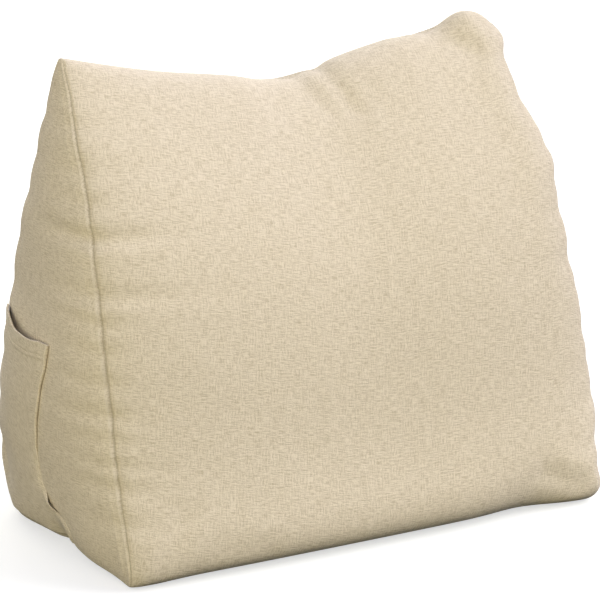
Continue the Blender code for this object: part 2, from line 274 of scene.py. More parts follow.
class PillowShape(bpy.types.PropertyGroup):
    """Sizes of the filled wedge."""

    front_foot: length("Front foot", "Front corner of a side panel ahead of the ridge", 0.1525)
    back_foot: length("Back foot", "Back corner of a side panel behind the ridge", 0.085)
    height: length("Height", "Top corner of a side panel above the floor", 0.400)
    foot_left: length("Left foot", "Left seam to the middle, on the floor", 0.225)
    foot_right: length("Right foot", "Right seam to the middle, on the floor", 0.2282)
    top_left: length("Left half width", "Left seam to the middle, at the top", 0.203)
    top_right: length("Right half width", "Right seam to the middle, at the top", 0.205)
    out_left: length("Left seam bend", "How far the left seam bends outward", 0.003)
    out_right: length("Right seam bend", "How far the right seam bends outward", 0.0065)
    shoulder_left: length("Left shoulder", "Rounding of the front along the left seam", 0.0006)
    shoulder_right: length("Right shoulder", "Rounding of the front along the right seam", 0.012)
    shoulder_back: length("Back shoulder", "Rounding of the back along both seams", 0.006)
    ridge_seam: length("Ridge at a seam", "Half the width of the ridge at a seam", 0.003)
    ridge_middle: length("Ridge in the middle", "Half the width of the ridge halfway", 0.015)
    soft_seam: length("Corner at a seam", "Softness of the corners at a seam", 0.0018)
    soft_middle: length("Corner in the middle", "Softness of the corners halfway", 0.014)
    front_seam: length("Front bow at a seam", "Bow of the front at a seam", 0.027)
    front_middle: length("Front bow", "Bow of the front halfway between the seams", 0.043)
    back_seam: length("Back bow at a seam", "Bow of the back at a seam", 0.017)
    back_middle: length("Back bow", "Bow of the back halfway between the seams", 0.030)
    base_lift: length("Base seam lift", "Rise of a side panel's lower seam", 0.007)
    base_middle: length("Base bow", "Bow of the base, flattened by the floor", 0.004)
    foot_spread: length("Foot spread", "How much further the lower edges stand out", 0.018)
    tuck: length("Tuck", "How far the lower edges roll under", 0.022)
    tuck_height: length("Tuck height", "Height where the roll under starts", 0.044)
    tuck_out: length("Tuck spread", "How far the feet stand out above their roll", 0.013)
    tuck_left: number("Left tuck", "Share on the left", 0.20)
    tuck_right: number("Right tuck", "Share on the right", 1.0)
    bow_height: number("Bow height", "Above 1 bows higher", 1.2)
    swell_left: length("Left swelling", "Swelling of the left side panel", 0.019)
    swell_right: length("Right swelling", "Swelling of the right side panel", 0.015)
    flatten: number("Flatten", "Flatter upper panels", 0.35)
    power_left: number("Left power", "Low is steep", 0.55)
    power_right: number("Right power", "Low is steep", 0.9)
    centre_x: length("Centre x", "Middle of the part's box, across", -0.0016, -1)
    centre_y: length("Centre y", "Middle of the part's box, front to back", -0.0317, -1)
    panel_y: length("Panel middle y", "Where a side panel's rings close, front to back", -0.022, -1)
    panel_z: length("Panel middle z", "Where a side panel's rings close, upward", 0.125)
    stations: IntProperty(name="Stations", description="Sections across the pillow", default=141)
    rings: IntProperty(name="Rings", description="Rings of each side panel", default=52)


class PillowSeam(bpy.types.PropertyGroup):
    """Sizes of the sewn seams."""

    groove: length("Groove", "Depth of the groove on the wrapped cloth's side", 0.0005)
    groove_at: length("Groove place", "Distance of the groove from the seam", 0.0004)
    groove_half: length("Groove half width", "Half the width of the groove", 0.0005)
    lip: length("Lip", "Height of the rolled lip on the side panel", 0.0008)
    lip_at: length("Lip place", "Distance of the lip from the seam", 0.0014)
    lip_half: length("Lip half width", "Half the width of the lip", 0.0011)
    allowance: length("Allowance", "Height of the seam allowance showing through", 0.0005)
    allowance_at: length("Allowance place", "Distance of the allowance's edge", 0.0085)
    stitch: length("Stitch", "Length of one stitch and its gap", 0.0036)
    grain: number("Grain", "Slope of the grain on the wrap", 0.15)


class PillowPocket(bpy.types.PropertyGroup):
    """Sizes of the side pocket."""

    cloth: length("Cloth", "Thickness of the pocket", 0.0013)
    back_inset: length("Back inset", "Distance of its back edge from the seam", 0.0022)
    foot_inset: length("Foot inset", "Distance of its foot from the seam", 0.006)
    sewn: length("Sewn gap", "Gap where it is sewn on", 0.0005)
    body: length("Body gap", "Slack over the pocket's body", 0.003)
    mouth: length("Mouth gap", "Further slack at the mouth", 0.0028)
    hem: length("Hem", "Width of the hem at the mouth", 0.014)
    hem_step: length("Hem step", "Extra thickness of the hem", 0.0006)
    edge_lip: length("Edge lip", "Height of the folded front edge", 0.0011)
    edge_width: length("Edge width", "Width of the folded front edge", 0.0030)
    fade: number("Edge fade", "Flattening near the foot", 5.0)
    slit: length("Slit", "Opening of the slit at the foot of the front edge", 0.0026)
    slit_at: length("Slit height", "Height of the slit", 0.042)


class PillowCloth(bpy.types.PropertyGroup):
    """Colours and weave of the linen-look cloth."""

    light: colour("Light thread", "Colour of the raised threads", (0.771, 0.673, 0.508))
    dark: colour("Dark thread", "Colour of the sunk threads", (0.564, 0.471, 0.322))
    thread: length("Thread", "Distance between neighbouring threads", 0.00086)
    rib: length("Rib", "Distance between the ribs that stand out", 0.0029)
    slub: length("Slub", "Length of a thick place in a thread", 0.0070)
    relief: length("Relief", "Height of the weave", 0.00018)
    dent: length("Dent", "Depth of the cloth's soft dents", 0.0016)
    contrast: number("Contrast", "Contrast of the threads", 1.12)
    clouds: number("Clouds", "Strength of the clouds", 0.08)
    roughness: number("Roughness", "Roughness of the cloth", 0.92)
    sheen: number("Sheen", "Soft shine of the fibres", 0.18)


class PillowStage(bpy.types.PropertyGroup):
    """Floor, light and camera."""

    floor: colour("Floor", "Colour of the floor", (0.52, 0.52, 0.48))
    floor_half: length("Floor size", "Half the width of the floor", 12.0)
    air: colour("Air", "Colour of the background", (0.97, 0.97, 0.97))
    azimuth: number("Azimuth", "Camera's turn", 30.12)
    elevation: number("Elevation", "Camera's height angle", 15.02)
    distance: length("Distance", "Camera to the pillow", 2.956)
    focal: number("Focal length", "In picture widths", FOCAL / PICTURE_WIDTH)
    target: length("Target", "Height that the camera turns to", 0.230)
    glow: number("Glow", "Glow of the floor paper", 0.60)
    lamps: number("Lamps", "Strength of all the lamps", 1.0)


def sizes_of(shape, hand, *names):
    """Sizes that the left and the right hand each have."""
    return [getattr(shape, f"{name}_{hand}") for name in names]


def smooth_curve(at, places, values):
    """Smooth curve through (places, values): one Hermite cubic for each span, its end
    slopes taken from the neighbouring places."""
    places, values = np.asarray(places, float), np.asarray(values, float)
    slopes = np.gradient(values, places)
    at = np.clip(at, places[0], places[-1])
    span = np.clip(np.searchsorted(places, at, side="right") - 1, 0, len(places) - 2)
    width = places[span + 1] - places[span]
    t = (at - places[span]) / width
    ends = (1 + 2 * t) * (1 - t) ** 2 * values[span] + t**2 * (3 - 2 * t) * values[span + 1]
    tilts = t * (1 - t) ** 2 * slopes[span] - t**2 * (1 - t) * slopes[span + 1]
    return ends + width * tilts


def bump_at(distance, place, half):
    """Bell curve of distance: 1 at place, falling to 1/e at half away."""
    return np.exp(-(((distance - place) / half) ** 2))


def smooth_step(value, low, high):
    """3t^2 - 2t^3, from 0 at low to 1 at high."""
    t = np.clip((value - low) / (high - low), 0, 1)
    return t * t * (3 - 2 * t)


def fullness(u):
    """(1 - |u|^3)^0.6: the filling's effect, 0 at a side seam and 1 halfway between."""
    return np.maximum(0, 1 - np.abs(u) ** 3) ** 0.6


def along(at_seam, at_middle, u):
    """A size that changes with the fullness from its seam value to its middle value."""
    return at_seam + (at_middle - at_seam) * fullness(u)


def bowed_side(start, end, bow, count, lean=1.0):
    """Line from start to end plus bow * sin(pi * share^lean) along its left normal."""
    share = (np.arange(count) / count)[:, None]
    run = (end - start)[:, None]
    normal = np.stack([-run[..., 1], run[..., 0]], -1)
    normal = normal / np.linalg.norm(normal, axis=-1, keepdims=True)
    crown = bow[:, None, None] * np.sin(np.pi * share**lean)
    return start[:, None] + run * share + normal * crown


def softened(outlines, softness, step):
    """Closed outlines convolved with a Gaussian as wide as softness, which rounds corners:
    each outline's Fourier terms are multiplied by exp(-2 (pi * turns * softness / step)^2)."""
    turns = np.fft.fftfreq(outlines.shape[1])
    damping = np.exp(-2 * (np.pi * turns * softness[:, None] / step) ** 2)
    path = outlines[..., 0] + 1j * outlines[..., 1]
    rounded = np.fft.ifft(np.fft.fft(path, axis=1) * damping, axis=1)
    return np.stack([rounded.real, rounded.imag], -1)


def graded(share, strength):
    """share - strength * sin(2 pi share) / (2 pi): closer together towards 0 and 1."""
    return share - strength * np.sin(2 * np.pi * share) / (2 * np.pi)


def wrap_outlines(shape, u):
    """Outline (y, z) of the wrapped cloth at each station: four bowed sides, forward under
    the base, up the front, over the ridge and down the back, with softened corners."""
    spread = shape.foot_spread * fullness(u)
    ridge = along(shape.ridge_seam, shape.ridge_middle, u)
    stations, drops = np.array(RIDGE).T
    top = shape.height - smooth_curve(u, stations, drops * MM)
    floor = np.zeros_like(top)
    back_foot = np.stack([shape.back_foot + spread, floor], -1)
    front_foot = np.stack([-shape.front_foot - spread, floor], -1)
    front_top = np.stack([-ridge, top], -1)
    back_top = np.stack([ridge, top], -1)
    base_bow = along(-shape.base_lift, shape.base_middle, u)
    front_bow = along(shape.front_seam, shape.front_middle, u)
    back_bow = along(shape.back_seam, shape.back_middle, u)
    count, lean = OUTLINE_POINTS, shape.bow_height
    sides = (
        bowed_side(back_foot, front_foot, base_bow, count["base"]),
        bowed_side(front_foot, front_top, front_bow, count["front"], lean),
        bowed_side(front_top, back_top, floor, count["ridge"]),
        bowed_side(back_top, back_foot, back_bow, count["back"], 1 / lean),
    )
    softness = along(shape.soft_seam, shape.soft_middle, u)
    step = math.hypot(shape.front_foot, shape.height) / count["front"]
    return softened(np.concatenate(sides, axis=1), softness, step)


def outline_rows():
    """Places on the outline kept as mesh rows, and the side that each belongs to."""
    places, names, start = [], [], 0
    for side, points in OUTLINE_POINTS.items():
        share = np.arange(OUTLINE_ROWS[side]) / OUTLINE_ROWS[side]
        places.append(start + graded(share, 0.5) * points)
        names += [side] * len(share)
        start += points
    return np.concatenate(places), np.array(names)


def sampled(outlines, places):
    """Outlines read at fractional places, on straight lines between their points."""
    low = np.floor(places).astype(int)
    high = (low + 1) % outlines.shape[1]
    part = (places - low)[:, None]
    return outlines[:, low] * (1 - part) + outlines[:, high] * part


def seam_half_width(shape, z, hand, waviness=1.0):
    """Distance of a side seam from the middle plane: foot + (top - foot) * t^2 + out *
    sin(pi * t), with t the height as a share of the pillow's, plus waviness * the sum over
    the seam's waves of out * exp(-((z - height) / half)^2)."""
    t = np.clip(z / shape.height, 0, 1)
    foot, top, out = sizes_of(shape, hand, "foot", "top", "out")
    width = foot + (top - foot) * t**2 + out * np.sin(np.pi * t)
    for height, outward, half in WAVES[hand]:
        wave = outward * MM * bump_at(z, height * MM, half * MM)
        width = width + waviness * wave
    return width


def pucker_pull(height, away, table, over):
    """Sum over the puckers of depth * (1.35 exp(-t^2) - 0.55 exp(-(t / 2.1)^2)) * exp(-(away
    / reach)^2), with t the height from the trough's line over its half height. The second
    bell raises a soft ridge on each side of the trough. over is WRAP or PANEL."""
    pull = 0 * (height + away)
    for place, depth, half, *reaches, rise in table:
        t = (height - (place * MM + rise * away)) / (half * MM)
        trough = 1.35 * np.exp(-(t**2)) - 0.55 * np.exp(-((t / 2.1) ** 2))
        pull = pull + depth * MM * trough * bump_at(away, 0, reaches[over] * MM)
    return pull


def crease_pull(x, z, table):
    """Sum over the creases of depth * exp(-(d / half)^2), with d the distance to the line
    from one end of the crease to the other."""
    pull = 0 * x
    for x_from, z_from, x_to, z_to, depth, half in table:
        start = np.array([x_from, z_from]) * MM
        run = np.array([x_to, z_to]) * MM - start
        share = ((x - start[0]) * run[0] + (z - start[1]) * run[1]) / (run @ run)
        share = np.clip(share, 0, 1)
        gap = np.hypot(x - start[0] - share * run[0], z - start[1] - share * run[1])
        pull = pull + depth * MM * bump_at(gap, 0, half * MM)
    return pull


def shoulder_drop(away, radius):
    """Quarter circle: radius * (1 - sqrt(1 - (1 - away / radius)^2)), 0 beyond the radius."""
    t = np.clip(1 - away / radius, 0, 1)
    return radius * (1 - np.sqrt(1 - t**2))


def settled(shape, points):
    """Points rolled under at the foot and pushed by the filling. The roll draws a point in by
    a quarter ellipse of its height and lets it out by tuck_out * exp(-(z / 1.7 tuck_height)^2),
    both as a share of its distance from the middle. Then, for each row, push * exp(-dx^2 -
    dy^2 - dz^2) is added, with the distances to its place over its half widths. At the end
    the middle of the part's box is moved to the origin."""
    moved = points.copy()
    z, high = points[..., 2], shape.tuck_height
    under = shoulder_drop(z, high) * shape.tuck / high
    out = shape.tuck_out * bump_at(z, 0, 1.7 * high)
    half_depth = (shape.front_foot + shape.back_foot) / 2
    side = np.where(points[..., 0] < 0, shape.tuck_left, shape.tuck_right)
    drawn_in = under * side - out * shape.tuck_left
    moved[..., 0] -= drawn_in * np.clip(points[..., 0] / shape.foot_left, -1, 1)
    from_middle = (points[..., 1] + shape.front_foot - half_depth) / half_depth
    moved[..., 1] -= (under - out) * np.clip(from_middle, -1, 1)
    for *place, push_x, push_y, half_x, half_y, half_z in SETTLES:
        gap = (points - np.array(place) * MM) / (np.array([half_x, half_y, half_z]) * MM)
        weight = np.exp(-(gap**2).sum(-1))
        moved[..., 0] += weight * push_x * MM
        moved[..., 1] += weight * push_y * MM
    return moved - (shape.centre_x, shape.centre_y, 0)


def wrap_surface(shape, seam, u):
    """Points (stations, rows, 3) of the wrapped cloth and each point's distance from its
    side seam: the outlines, less puckers, creases and the seam's groove along the normal, with
    the seams drawn in by their puckers and the shoulders drawn in front to back."""
    places, sides = outline_rows()
    outlines = wrap_outlines(shape, u)
    tangents = np.roll(outlines, -1, axis=1) - np.roll(outlines, 1, axis=1)
    tangents = sampled(tangents, places)
    tangents /= np.linalg.norm(tangents, axis=-1, keepdims=True)
    y, z = np.moveaxis(sampled(outlines, places), -1, 0)
    out_y, out_z = -tangents[..., 1], tangents[..., 0]
    u = u[:, None]
    left, right = seam_half_width(shape, z, "left"), seam_half_width(shape, z, "right")
    x = np.where(u < 0, u * left, u * right)
    away = np.where(u < 0, left + x, right - x)
    front, back = sides == "front", sides == "back"
    pull = 0 * x
    for hand, here in (("left", u < 0), ("right", u >= 0)):
        on_front = pucker_pull(z, away, PUCKERS_FRONT[hand], WRAP)
        on_back = pucker_pull(z, away, PUCKERS_BACK, WRAP)
        pull += here * (on_front * front + on_back * back)
    x = x - np.sign(u) * pull * bump_at(away, 0, PUCKER_DRAW)
    inner = 1 - bump_at(away, 0, CREASE_FREE)
    pull += inner * crease_pull(x, z, CREASES_FRONT) * (front | (sides == "ridge"))
    pull += inner * crease_pull(x, z, CREASES_BACK) * back
    pull += seam.groove * bump_at(away, seam.groove_at, seam.groove_half)
    y, z = y - out_y * pull, z - out_z * pull
    base, below_top = sides == "base", 1 - smooth_step(z, *SHOULDERS_FADE)
    low, high = y[:, base].min(1, keepdims=True), y[:, base].max(1, keepdims=True)
    share = np.clip((y - low) / (high - low), 0, 1)
    radius = np.where(u < 0, shape.shoulder_left, shape.shoulder_right)
    y += (front + base * (1 - share)) * below_top * shoulder_drop(away, radius)
    y -= (back + base * share) * below_top * shoulder_drop(away, shape.shoulder_back)
    return np.stack([x, y, np.maximum(z, 0)], -1), away


def seam_curves(loop):
    """Front, back and base curves of a side seam, each as rising keys and their values."""
    _, sides = outline_rows()
    base, front, ridge, back = (loop[sides == side] for side in OUTLINE_POINTS)
    half = len(ridge) // 2
    front_curve = np.concatenate([front, ridge[:half]])
    back_curve = np.concatenate([ridge[half:], back, base[:1]])[::-1]
    base_curve = np.concatenate([base, front[:1]])[::-1]
    return {"front": front_curve[:, ::-1].T, "back": back_curve[:, ::-1].T, "base": base_curve.T}


def panel_half_width(shape, seam, y, z, curves, hand):
    """Distance of a side panel from the middle plane: its seam's, with waves that die away
    from the seam, plus swell * r^p, flatter above, with r = 27 f b g and f, b and g the room
    to the front, back and base seams as shares of the panel. Hollows, each times min(1, 4 r),
    and puckers are taken off, and the rolled lip and the seam allowance are added."""
    front = np.maximum(y - np.interp(z, *curves["front"]), 0)
    back = np.maximum(np.interp(z, *curves["back"]) - y, 0)
    base = np.maximum(z - np.interp(y, *curves["base"]), 0)
    depth = shape.front_foot + shape.back_foot
    room = 27 * front * back * base / depth**2 / shape.height
    swell, power = sizes_of(shape, hand, "swell", "power")
    crown = swell * room**power * (1 - shape.flatten * smooth_step(z, *PANELS_FLATTEN))
    if hand == "left":
        for place_y, place_z, sunk, half_y, half_z in HOLLOWS_LEFT:
            across = ((y - place_y * MM) / (half_y * MM)) ** 2
            up = ((z - place_z * MM) / (half_z * MM)) ** 2
            crown -= np.minimum(1, 4 * room) * sunk * MM * np.exp(-across - up)
    crown -= pucker_pull(z, front, PUCKERS_FRONT[hand], PANEL)
    crown -= pucker_pull(z, back, PUCKERS_BACK, PANEL)
    edge = np.minimum(front, back)
    sewn = np.minimum(1, np.minimum(edge, base) / MM) * smooth_step(base, *LIP_RISES)
    crown += sewn * seam.lip * bump_at(edge, seam.lip_at, seam.lip_half)
    crown += sewn * seam.allowance * bump_at(edge, seam.allowance_at, ALLOWANCE_HALF)
    return seam_half_width(shape, z, hand, bump_at(edge, 0, WAVE_REACH)) + crown


def graded_stations(count):
    """Stations 0.88 sin(pi / 2 t) + 0.12 t, with even t from -1 to 1: closer together
    towards the side seams."""
    t = np.linspace(-1, 1, count)
    return 0.88 * np.sin(np.pi / 2 * t) + 0.12 * t


def arc_lengths(points, axis, start):
    """Distance along one axis of a grid of points, measured from index start."""
    steps = np.linalg.norm(np.diff(points, axis=axis), axis=-1)
    total = np.concatenate([0 * steps.take([0], axis), np.cumsum(steps, axis)], axis)
    return total - total.take([start], axis)


def grid_faces(columns, rows):
    """Column numbers and row numbers, each (cells, 4), of the corners of a grid's cells."""
    i, j = np.meshgrid(np.arange(columns - 1), np.arange(rows - 1), indexing="ij")
    corners = np.stack([i, j, i + 1, j, i + 1, j + 1, i, j + 1], -1).reshape(-1, 4, 2)
    return corners[..., 0], corners[..., 1]


def make_piece(name, points, faces, uvs, material, painted_shading=None):
    """A smooth mesh object from points, lists of faces, one (u, v) for each corner and one
    painted shading value for each point, which the attribute crease holds: painted shade
    above 0, painted highlight below 0."""
    mesh = bpy.data.meshes.new(name)
    mesh.from_pydata(points.tolist(), [], faces)
    mesh.polygons.foreach_set("use_smooth", np.ones(len(mesh.polygons), bool))
    layer = mesh.uv_layers.new(name="cloth")
    layer.data.foreach_set("uv", np.asarray(uvs, np.float32).ravel())
    if painted_shading is not None:
        # The attribute crease holds painted shade above 0 and painted highlight below 0
        crease = mesh.attributes.new("crease", "FLOAT", "POINT")
        crease.data.foreach_set("value", np.asarray(painted_shading, np.float32))
    mesh.materials.append(material)
    piece = bpy.data.objects.new(name, mesh)
    bpy.context.scene.collection.objects.link(piece)
    return piece


def painted_shading_line(kind, distance):
    """Painted shading of one kind at a distance from its edge, painted shade where the
    strength is above 0 and painted highlight where it is below: strength * exp(-((distance -
    place) / half)^2)."""
    strength, place, half = PAINTED_SHADING_LINES[kind]
    return strength * bump_at(distance, place, half)


def painted_pocket_shade(y, z):
    """Painted shade of the left panel inside the pocket: 1 there, 0 outside it."""
    mouth = smooth_curve(y, *np.array(POCKET_MOUTH).T * MM)
    front = smooth_curve(z, *np.array(POCKET_FRONT).T[::-1] * MM)
    return smooth_step(mouth - z, *PAINTED_SHADE_BELOW_MOUTH) * smooth_step(y - front, *PAINTED_SHADE_BEHIND_FRONT)


def wrapped_cloth(seam, wrap, away):
    """Points, faces, cloth coordinates and painted seam shade of the wrapped cloth. A copy of
    its first row closes its grid, and its coordinates are the distances along it, turned by
    the grain."""
    stations, rows = wrap.shape[:2]
    _, sides = outline_rows()
    middle_row = int(np.flatnonzero(sides == "front")[OUTLINE_ROWS["front"] // 2])
    closed = np.concatenate([wrap, wrap[:, :1]], axis=1)
    across, up = arc_lengths(closed, 0, stations // 2), arc_lengths(closed, 1, middle_row)
    turned = np.stack([across - seam.grain * up, up + seam.grain * across], -1)
    i, j = grid_faces(stations, rows + 1)
    faces = (i * rows + j % rows).tolist()
    # Painted shade in the groove along each side seam
    return wrap.reshape(-1, 3), faces, turned[i, j].reshape(-1, 2), painted_shading_line("wrap", away).ravel()


def side_panel(shape, seam, wrap, hand, first):
    """Points, faces, cloth coordinates and painted shading of a side panel: rings that shrink
    from the seam, whose points are the wrapped cloth's own, to one point in the middle. first
    is the number of its first new point. A place's cloth coordinates lie in its direction
    from the middle, as far out as the distance along the cloth."""
    stations, rows = wrap.shape[:2]
    sign, station = (-1, 0) if hand == "left" else (1, stations - 1)
    loop, middle = wrap[station, :, 1:], np.array([shape.panel_y, shape.panel_z])
    share = 1 - (np.arange(shape.rings + 1) / shape.rings) ** RING_POWER
    flat = middle + share[:, None, None] * (loop - middle)
    y, z = np.moveaxis(flat, -1, 0)
    x = sign * panel_half_width(shape, seam, y, z, seam_curves(loop), hand)
    rings = np.concatenate([x[..., None], flat], -1)
    rings[0] = wrap[station]
    reach = -arc_lengths(rings, 0, shape.rings)
    turn = (loop - middle) / np.linalg.norm(loop - middle, axis=-1, keepdims=True)
    cloth = turn[None] * reach[..., None] + (sign * PANEL_CLOTH[0], PANEL_CLOTH[1])
    edge = np.linalg.norm(flat - loop[None], axis=-1)
    # Painted shade along the seam, less a painted highlight on the rolled lip beside it
    shade = painted_shading_line("panel", edge) - LIP_PAINTED_HIGHLIGHT * bump_at(edge, seam.lip_at, seam.lip_half)
    # Painted shade on the left panel where it lies inside the pocket
    if hand == "left":
        shade = shade + POCKET_PAINTED_SHADE * painted_pocket_shade(y, z)
    index = np.empty((shape.rings + 1, rows), int)
    index[0] = station * rows + np.arange(rows)
    index[1:-1] = first + np.arange((shape.rings - 1) * rows).reshape(-1, rows)
    index[-1] = first + (shape.rings - 1) * rows
    faces, uvs = [], []
    tip_ring = np.tile([shape.rings - 1, shape.rings, shape.rings - 1], (rows, 1))
    tip_row = np.arange(rows)[:, None] + (0, 0, 1)
    for ring, row in (grid_faces(shape.rings, rows + 1), (tip_ring, tip_row)):
        if hand == "left":
            ring, row = (np.roll(corners[:, ::-1], 1, axis=1) for corners in (ring, row))
        faces += index[ring, row % rows].tolist()
        uvs.append(cloth[ring, row % rows].reshape(-1, 2))
    points = np.concatenate([rings[1:-1].reshape(-1, 3), rings[-1, :1]])
    return points, faces, np.concatenate(uvs), np.append(shade[1:-1], 0)


def body_geometry(shape, seam):
    """Points, faces, cloth coordinates and painted shading of the whole cover: the wrapped
    cloth and then the two side panels that close it."""
    wrap, away = wrap_surface(shape, seam, graded_stations(shape.stations))
    parts = [wrapped_cloth(seam, wrap, away)]
    for hand in ("left", "right"):
        first = sum(len(points) for points, *_ in parts)
        parts.append(side_panel(shape, seam, wrap, hand, first))
    points, faces, uvs, painted_shading = zip(*parts)
    points = settled(shape, np.concatenate(points))
    return points, sum(faces, []), np.concatenate(uvs), np.concatenate(painted_shading)


class PocketPattern:
    """The pocket's cut: its edges on the left panel, and its surface in terms of the share
    across it (front edge to back edge) and the share up it (foot to mouth)."""

    def __init__(self, shape, seam, pocket):
        self.shape, self.seam, self.pocket = shape, seam, pocket
        wrap, _ = wrap_surface(shape, seam, np.array([-1.0]))
        self.curves = seam_curves(wrap[0, :, 1:])
        self.mouth = np.array(POCKET_MOUTH).T * MM
        self.front = np.array(POCKET_FRONT).T * MM
        samples = (np.linspace(0, 1, count) for count in (60, 90))
        flat = self.places(*np.meshgrid(*samples, indexing="ij"))
        self.width = np.linalg.norm(np.diff(flat, axis=0), axis=-1).sum(0).mean()
        self.tall = np.linalg.norm(np.diff(flat, axis=1), axis=-1).sum(1).mean()

    def places(self, across, up):
        """(y, z) of a point: between the foot, which follows the base seam, and the mouth,
        then between the front edge and the back edge at that height."""
        y = self.front[0, 0] + (self.mouth[0, -1] - self.front[0, 0]) * across
        foot = np.interp(y, *self.curves["base"]) + self.pocket.foot_inset
        z = foot + (smooth_curve(y, *self.mouth) - foot) * up
        left = smooth_curve(z, *self.front[::-1])
        right = np.interp(z, *self.curves["back"]) - self.pocket.back_inset
        return np.stack([left + (right - left) * across, z], -1)

    def half_width(self, y, z):
        """The left panel under the pocket."""
        return panel_half_width(self.shape, self.seam, y, z, self.curves, "left")

    def folded(self, z):
        """How far the folded front edge stands out at a height: 1 above, little at the foot."""
        return FOLD_AT_FOOT + (1 - FOLD_AT_FOOT) * smooth_step(z, *FOLD_RISES)

    def surface(self, across, up):
        """Points on the pocket's inner face and the direction away from the panel there: the
        panel plus, along its normal, a gap of sewn + sin(pi * across)^1.1 * (body * sin(pi / 2
        * up^0.7) + mouth * up^4). The lower part of the front edge is pressed into the panel,
        as if sewn down, but for the slit."""
        y, z = np.moveaxis(self.places(across, up), -1, 0)
        nudge = 2 * MM
        slope_y = (self.half_width(y + nudge, z) - self.half_width(y - nudge, z)) / (2 * nudge)
        slope_z = (self.half_width(y, z + nudge) - self.half_width(y, z - nudge)) / (2 * nudge)
        away = np.stack([-np.ones_like(y), -slope_y, -slope_z], -1)
        away /= np.linalg.norm(away, axis=-1, keepdims=True)
        slack = self.pocket.body * np.sin(np.pi / 2 * up**0.7) + self.pocket.mouth * up**4
        gap = self.pocket.sewn + np.sin(np.pi * across) ** 1.1 * slack
        near_edge = bump_at(across * self.width, 0, SEWN_HALF)
        slit = bump_at(z, self.pocket.slit_at, SEWN_HALF)
        sunk = self.pocket.sewn + PRESSED * self.pocket.cloth
        gap += near_edge * (self.pocket.slit * slit - sunk * (1 - self.folded(z)) * (1 - slit))
        inner = np.stack([-self.half_width(y, z), y, z], -1) + away * gap[..., None]
        return settled(self.shape, inner), away

    def faces(self, across, up):
        """Inner and outer face of the cloth and the direction away from the panel: edges
        rounded by a quarter circle, a thicker hem with a groove for its stitches, and a lip
        and a crease along the front edge, which flatten towards the foot."""
        inner, away = self.surface(across, up)
        pocket, width, tall = self.pocket, self.width, self.tall
        from_front, from_mouth = across * width, (1 - up) * tall
        folded = self.folded(inner[..., 2])
        front_edge = from_front / (1 + pocket.fade * (1 - folded))
        edge = np.minimum(np.minimum(front_edge, width - from_front), np.minimum(up, 1 - up) * tall)
        rounding = np.sqrt(1 - (1 - np.minimum(edge / EDGE_ROUNDING, 1)) ** 2)
        hem = 1 - smooth_step(from_mouth, pocket.hem, pocket.hem + HEM_STEP_WIDTH)
        groove = GROOVE_DEPTH * bump_at(from_mouth, pocket.hem - HEM_INSET, GROOVE_HALF)
        lip = pocket.edge_lip * bump_at(from_front, FOLD_AT, FOLD_HALF)
        crease = FOLD_CREASE * bump_at(from_front, pocket.edge_width, FOLD_CREASE_HALF)
        extra = pocket.hem_step * hem - groove + folded * (lip - crease)
        low = pocket.cloth / 2 * (1 - rounding)
        high = pocket.cloth / 2 * (1 + rounding) + extra * rounding
        return inner + away * low[..., None], inner + away * high[..., None], away


def pocket_geometry(pattern):
    """Points, faces, cloth coordinates and painted shading of the pocket as one closed sheet.
    Its two faces share the points of the rim, where the rounding leaves no thickness."""
    shares = (graded(np.linspace(0, 1, count), POCKET_GRADING) for count in POCKET_GRID)
    across, up = np.meshgrid(*shares, indexing="ij")
    inner, outer, _ = pattern.faces(across, up)
    cloth = np.stack([arc_lengths(inner, 0, 0), arc_lengths(inner, 1, 0)], -1) + POCKET_CLOTH
    index = np.arange(across.size).reshape(across.shape)
    outer_index = index.copy()
    core = outer_index[1:-1, 1:-1]
    core[:] = across.size + np.arange(core.size).reshape(core.shape)
    i, j = grid_faces(*across.shape)
    faces = index[i, j].tolist() + outer_index[i, j][:, ::-1].tolist()
    uvs = np.concatenate([cloth[i, j], cloth[i, j][:, ::-1]]).reshape(-1, 2)
    points = np.concatenate([inner.reshape(-1, 3), outer[1:-1, 1:-1].reshape(-1, 3)])
    from_front = across * pattern.width
    # Painted shade along the front edge's rim and a painted highlight along its fold, fading
    # towards the foot
    shade = painted_shading_line("rim", from_front) + painted_shading_line("fold", from_front)
    shade = shade * pattern.folded(inner[..., 2])
    return points, faces, uvs, np.concatenate([shade.ravel(), shade[1:-1, 1:-1].ravel()])


def stitch_places(pattern, offsets):
    """Shares across and up, each (stitches, points), of the points at the given offsets, in
    pitches, from each stitch's middle: one row under the mouth, one along each side edge."""
    pocket, pitch = pattern.pocket, pattern.seam.stitch
    count = int(pattern.width / pitch)
    across = ((np.arange(count) + 0.5) / count)[:, None] + offsets * (pitch / pattern.width)
    hem = 1 - (pocket.hem - HEM_INSET) / pattern.tall
    rows = [(across, np.full_like(across, hem))]
    count = int(pattern.tall / pitch) - LEFT_OUT
    up = ((np.arange(count) + LEFT_OUT / 2) / (count + LEFT_OUT))[:, None]
    up = up + offsets * (pitch / pattern.tall)
    for inset in (pocket.edge_width, pattern.width - BACK_INSET):
        rows.append((np.full_like(up, inset / pattern.width), up))
    return np.concatenate(rows, axis=1)


